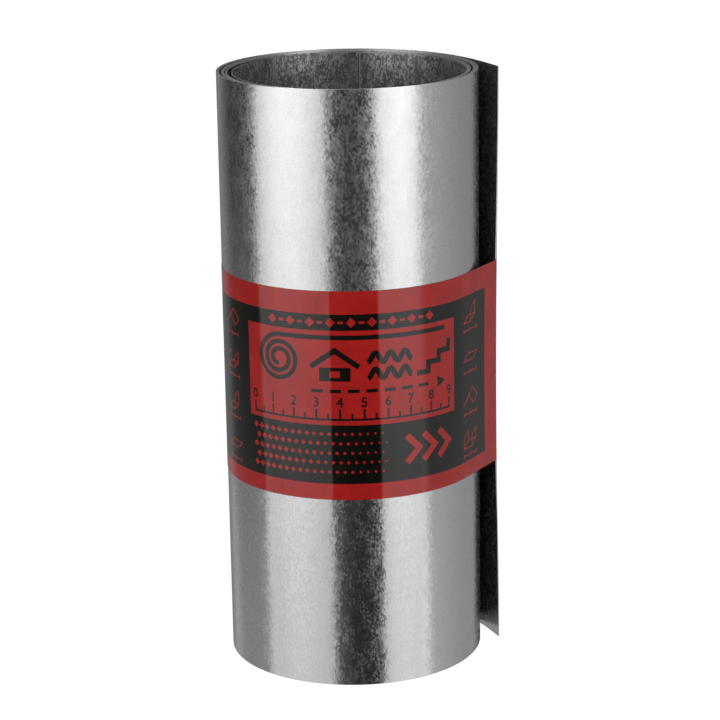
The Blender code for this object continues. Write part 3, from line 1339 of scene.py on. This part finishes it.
@dataclass
class FilmSurface:
    """Turns label coordinates into points on the film."""

    band: FilmBand
    axis: Vector
    loops: dict[float, list[Vector]]
    heights: list[float]
    strip: list[int]
    places: list[float]
    place_slack: float = 1e-9
    row_slack: float = 1e-6

    def __post_init__(self) -> None:
        """Works out the film's outward direction at each point of the grid."""
        self.outwards = {}
        count = len(self.loops[self.heights[0]])
        for z in self.heights:
            loop = self.loops[z]
            for i in range(count):
                before, after = loop[i - 1], loop[(i + 1) % count]
                forward = (after - before).normalized()
                self.outwards[z, i] = Vector((-forward.y, forward.x))

    def grid(self) -> Outline:
        """Gives the grid's points in label coordinates, upwards in each column."""
        return [(place, z) for place in self.places for z in self.heights]

    def cells(self) -> list[tuple[int, int, int, int]]:
        """Lists the cells of the grid.

        Returns:
            For each cell the numbers of its four points, in order as seen from inside the roll.
        """
        rows = len(self.heights)
        firsts = [c * rows + r for c in range(len(self.places) - 1) for r in range(rows - 1)]
        return [(i, i + 1, i + rows + 1, i + rows) for i in firsts]

    def border(self) -> list[tuple[int, int]]:
        """Lists the edges round the grid.

        Returns:
            For each edge the numbers of its two points, in order round the grid.
        """
        columns, rows = len(self.places) - 1, len(self.heights)
        border = [(c * rows, (c + 1) * rows) for c in range(columns)]
        border += [(columns * rows + r, columns * rows + r + 1) for r in range(rows - 1)]
        border += [((c + 2) * rows - 1, (c + 1) * rows - 1) for c in range(columns)]
        border += [(r + 1, r) for r in range(rows - 1)]
        return border

    def print_lines(self, patches: list[Patch]) -> tuple[list[Vector], list[tuple[int, int]]]:
        """Lists every line along which the film is cut: its grid, and the outlines of the print.

        Args:
            patches: The print.

        Returns:
            The points in label coordinates, and the pairs of their numbers that lines join.
        """
        columns, rows = len(self.places), len(self.heights)
        verts = [Vector(point) for point in self.grid()]
        edges = [(c * rows + r, c * rows + r + 1) for c in range(columns) for r in range(rows - 1)]
        edges += [(c * rows + r, (c + 1) * rows + r) for c in range(columns - 1) for r in range(rows)]
        for loop in [loop for patch in patches for loop in patch.loops]:
            start = len(verts)
            verts += [Vector(point) for point in loop]
            edges += [(start + i, start + (i + 1) % len(loop)) for i in range(len(loop))]
        return verts, edges

    def cell(self, x: float, y: float) -> tuple[int, int, float, float]:
        """Finds the grid cell that holds a point, and where in the cell it is.

        Args:
            x: The place along the band.
            y: The height.

        Returns:
            The cell's column and row, and the two shares across it.
        """
        low, high = 0, len(self.places) - 2
        while low < high:
            guess = (low + high + 1) // 2
            if self.places[guess] <= x + self.place_slack:
                low = guess
            else:
                high = guess - 1
        row = int((y - self.heights[0]) / (self.heights[1] - self.heights[0]) + self.row_slack)
        row = min(max(row, 0), len(self.heights) - 2)
        across = (x - self.places[low]) / (self.places[low + 1] - self.places[low])
        up = (y - self.heights[row]) / (self.heights[row + 1] - self.heights[row])
        return low, row, min(max(across, 0.0), 1.0), min(max(up, 0.0), 1.0)

    def lap_lift(self, x: float) -> float:
        """Says how far the strip's far end is lifted by the end that lies under it.

        Args:
            x: The place along the band.

        Returns:
            The lift in metres, 0 before the lap.
        """
        from_start = x - (self.places[-1] - self.band.lap)
        share = smooth_step((from_start + self.band.lap_rise) / self.band.lap_rise)
        return self.band.lap_films * self.band.film * share

    def corners(self, x: float, y: float) -> list[tuple[float, float, int]]:
        """Gives the four grid points round a point, each with its weight.

        Args:
            x: The place along the band.
            y: The height.

        Returns:
            For each grid point its weight, its height and its number in the loop.
        """
        column, row, across, up = self.cell(x, y)
        found = []
        for c, weight_c in ((column, 1 - across), (column + 1, across)):
            for r, weight_r in ((row, 1 - up), (row + 1, up)):
                found.append((weight_c * weight_r, self.heights[r], self.strip[c]))
        return found

    def point(self, x: float, y: float, lift: float) -> Vector:
        """Gives the point of the film at label coordinates.

        Args:
            x: The place along the band.
            y: The height.
            lift: How far outwards from the film's inner face.

        Returns:
            The point in the frame.
        """
        lift += self.lap_lift(x)
        place = Vector((0.0, 0.0))
        for weight, z, i in self.corners(x, y):
            place += weight * (self.loops[z][i] + lift * self.outwards[z, i])
        return Vector((*(self.axis + place), y))

    def normal(self, x: float, y: float) -> Vector:
        """Gives the film's outward direction at label coordinates.

        Args:
            x: The place along the band.
            y: The height.

        Returns:
            A level unit vector.
        """
        outwards = Vector((0.0, 0.0))
        for weight, z, i in self.corners(x, y):
            outwards += weight * self.outwards[z, i]
        return Vector((*outwards, 0.0)).normalized()


@dataclass(frozen=True)
class Panel:
    """A soft panel of the light tent, placed by the compass angle at which it stands."""

    left: float
    right: float
    left_edge: float
    right_edge: float
    high_level: float
    low_level: float
    left_lean: float = 0.0
    right_lean: float = 0.0


@dataclass
class Studio:
    """Floor, light tent and camera."""

    tent_radius: float = 12.0
    tent_height: float = 0.13
    floor_size: float = 14.0
    floor_color: Color = (0.9, 0.9, 0.9)
    floor_glow: float = 1.22
    floor_glow_share: float = 0.75
    panels: tuple[Panel, ...] = (
        Panel(-90.0, -19.5, 2.5, 0.6, 1.07, 0.72, 5.0, 0.5),
        Panel(-76.0, -36.0, 14.0, 16.0, 0.54, 0.14, 6.0, 0.0),
        Panel(-30.0, -6.0, 6.0, 5.0, 0.0, 0.05),
        Panel(22.6, 63.0, 1.2, 5.0, 1.53, 0.92, 3.2, 7.2),
        Panel(38.0, 56.0, 8.0, 8.0, 0.19, 0.04, 0.0, 0.0),
        Panel(66.0, 150.0, 5.0, 18.0, 0.315, 0.38),
        Panel(66.0, 98.0, 5.0, 30.0, 0.15, 0.175),
        Panel(-170.0, -140.0, 8.0, 16.0, 0.25, 0.25),
        Panel(-150.0, -81.0, 8.0, 5.0, 0.0, 0.335),
    )
    gap_high: float = 0.015
    gap_low: float = 0.005
    high_boost: float = 2.2
    boost_rise: tuple[float, float] = (-4.0, 6.0)
    high_rise: tuple[float, float] = (-23.0, -9.0)
    sky_front: float = 1.08
    sky_back: float = 0.3
    sky_zenith: float = 0.8
    sky_front_rise: tuple[float, float] = (12.0, 36.0)
    sky_back_rise: tuple[float, float] = (-8.0, 9.0)
    zenith_rise: tuple[float, float] = (50.0, 75.0)
    sides: tuple[float, float] = (36.0, 96.0)
    camera_place: tuple[float, float, float] = (0.0, -1.0341, 0.4139)
    camera_yaw: float = math.radians(0.1837)
    camera_pitch: float = math.radians(15.482)
    camera_roll: float = math.radians(-0.928)
    lens: float = 124.61
    sensor: float = 36.0

    def add_floor(self) -> None:
        """Adds the pale floor, which keeps the object's shadow."""
        bm = bmesh.new()
        half = self.floor_size / 2
        corners = [(-half, -half), (half, -half), (half, half), (-half, half)]
        bm.faces.new([bm.verts.new((x, y, 0.0)) for x, y in corners])
        material, bench = open_material("pale_floor", self.floor_color)
        matt = bench.add("BsdfDiffuse", {"Color": (*self.floor_color, 1.0)})
        glow = bench.add("Emission", {"Color": WHITE, "Strength": self.floor_glow})
        path = bench.add("LightPath").outputs
        seen = bench.math("MAXIMUM", path["Is Camera Ray"], path["Is Glossy Ray"])
        seen = bench.math("MAXIMUM", seen, path["Is Transmission Ray"])
        share = bench.math("MULTIPLY", seen, self.floor_glow_share)
        bench.surface("MixShader", {0: share, 1: matt.outputs[0], 2: glow.outputs[0]})
        floor = new_piece("floor", bm, [material])
        floor.visible_glossy = False

    def add_tent(self) -> None:
        """Adds the light tent, a dome of bright panels and darker gaps that only light and gloss see."""
        bm = bmesh.new()
        bmesh.ops.create_icosphere(bm, subdivisions=5, radius=self.tent_radius)
        for face in bm.faces:
            face.normal_flip()
        material, bench = open_material("light_tent", WHITE[:3])
        bench.surface("Emission", {"Color": WHITE, "Strength": self.tent_light(bench)})
        tent = new_piece("light_tent", bm, [material])
        tent.location = (0.0, 0.0, self.tent_height)
        tent.visible_camera = False
        tent.visible_shadow = False

    def tent_light(self, bench: NodeBench) -> Socket:
        """Works out how bright the tent is, by compass angle and by height angle, both in degrees.

        Args:
            bench: The tent material's bench.

        Returns:
            The strength.
        """
        place = bench.add("TexCoord").outputs["Object"]
        x, y, z = bench.add("SeparateXYZ", {0: bench.vector("NORMALIZE", place)}).outputs
        compass = bench.math("ARCTAN2", x, bench.math("MULTIPLY", y, -1.0))
        compass = bench.math("MULTIPLY", compass, DEGREES)
        height = bench.math("MULTIPLY", bench.math("ARCSINE", z), DEGREES)
        upper = bench.ramp(height, *self.high_rise)
        lower = bench.math("SUBTRACT", 1.0, upper)
        light = bench.blend(upper, self.gap_low, self.gap_high)
        for panel in self.panels:
            left = bench.math("MULTIPLY_ADD", lower, -panel.left_lean, compass)
            right = bench.math("MULTIPLY_ADD", lower, -panel.right_lean, compass)
            rise = bench.ramp(left, panel.left - panel.left_edge, panel.left + panel.left_edge)
            fall = bench.ramp(right, panel.right - panel.right_edge, panel.right + panel.right_edge)
            share = bench.math("SUBTRACT", rise, fall)
            level = bench.blend(upper, panel.low_level, panel.high_level)
            light = bench.math("MULTIPLY_ADD", share, level, light)
        boost = bench.ramp(height, *self.boost_rise, 1.0, self.high_boost)
        light = bench.math("MULTIPLY", light, boost)
        behind = bench.ramp(bench.math("ABSOLUTE", compass), *self.sides)
        sky = bench.blend(behind, self.sky_front, self.sky_back)
        sky = bench.blend(bench.ramp(height, *self.zenith_rise), sky, self.sky_zenith)
        foot, head = (bench.blend(behind, *ends) for ends in zip(self.sky_front_rise, self.sky_back_rise))
        return bench.blend(bench.ramp(height, foot, head), light, sky)

    def add_world(self) -> None:
        """Sets the plain white world behind everything."""
        world = bpy.data.worlds.new("white_world")
        world.use_nodes = True
        bench = NodeBench(world.node_tree)
        sky = bench.add("Background", {"Color": WHITE, "Strength": 1.0})
        bench.add("OutputWorld", {"Surface": sky.outputs[0]})
        bpy.context.scene.world = world

    def add_camera(self, axis: Vector) -> None:
        """Adds the camera at the photograph's viewing angle.

        Args:
            axis: The plan position of the roll's axis, which the camera's place is measured from.
        """
        yaw, pitch, roll = self.camera_yaw, self.camera_pitch, self.camera_roll
        level = math.cos(pitch)
        forward = Vector((math.sin(yaw) * level, math.cos(yaw) * level, -math.sin(pitch)))
        right = forward.cross(Vector((0.0, 0.0, 1.0))).normalized()
        up = right.cross(forward)
        across = math.cos(roll) * right + math.sin(roll) * up
        upwards = math.cos(roll) * up - math.sin(roll) * right
        data = bpy.data.cameras.new("camera")
        data.lens = self.lens
        data.sensor_width = self.sensor
        camera = bpy.data.objects.new("camera", data)
        bpy.context.scene.collection.objects.link(camera)
        turned = Matrix((across, upwards, -forward)).transposed().to_4x4()
        place = Vector(self.camera_place) + Vector((axis.x, axis.y, 0.0))
        camera.matrix_world = Matrix.Translation(place) @ turned
        bpy.context.scene.camera = camera

    def make(self, axis: Vector) -> None:
        """Sets up the whole studio.

        Args:
            axis: The plan position of the roll's axis.
        """
        self.add_floor()
        self.add_tent()
        self.add_world()
        self.add_camera(axis)
        bpy.context.scene.view_settings.view_transform = "Standard"


def hand_over(piece: bpy.types.Object, node: str) -> None:
    """Puts a finished piece in the place of its CAD node.

    Args:
        piece: The finished piece.
        node: The CAD node that it stands for.
    """
    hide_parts(node)
    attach(piece, BODY)
    low = [min(vert.co[axis] for vert in piece.data.vertices) / MM for axis in range(3)]
    high = [max(vert.co[axis] for vert in piece.data.vertices) / MM for axis in range(3)]
    message = "%s: %d faces, %.2f %.2f %.2f to %.2f %.2f %.2f mm"
    LOG.info(message, piece.name, len(piece.data.polygons), *low, *high)


def main() -> None:
    """Builds the roll, its band and the studio."""
    logging.basicConfig(level=logging.INFO, format="%(name)s: %(message)s")
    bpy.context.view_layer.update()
    sheet = SheetRoll()
    axis = sheet.axis()
    LOG.info("roll axis at %.4f %.4f mm", axis.x / MM, axis.y / MM)
    Studio().make(axis)
    scuffs_and_highlights, painted_shade_lines = (sheet.end_places(offset) for offset in (sheet.scuff_offset, sheet.soil_offset))
    roll = sheet.make(axis, [ZincFinish().make(scuffs_and_highlights, painted_shade_lines), CutEdgeFinish().make()])
    hand_over(roll, SHEET_NODE)
    patches = LabelPrint().make()
    band = FilmBand(sheet).make(axis, patches, [RED_FILM.make(), BLACK_PRINT.make()])
    hand_over(band, BAND_NODE)


if __name__ == "__main__":
    main()
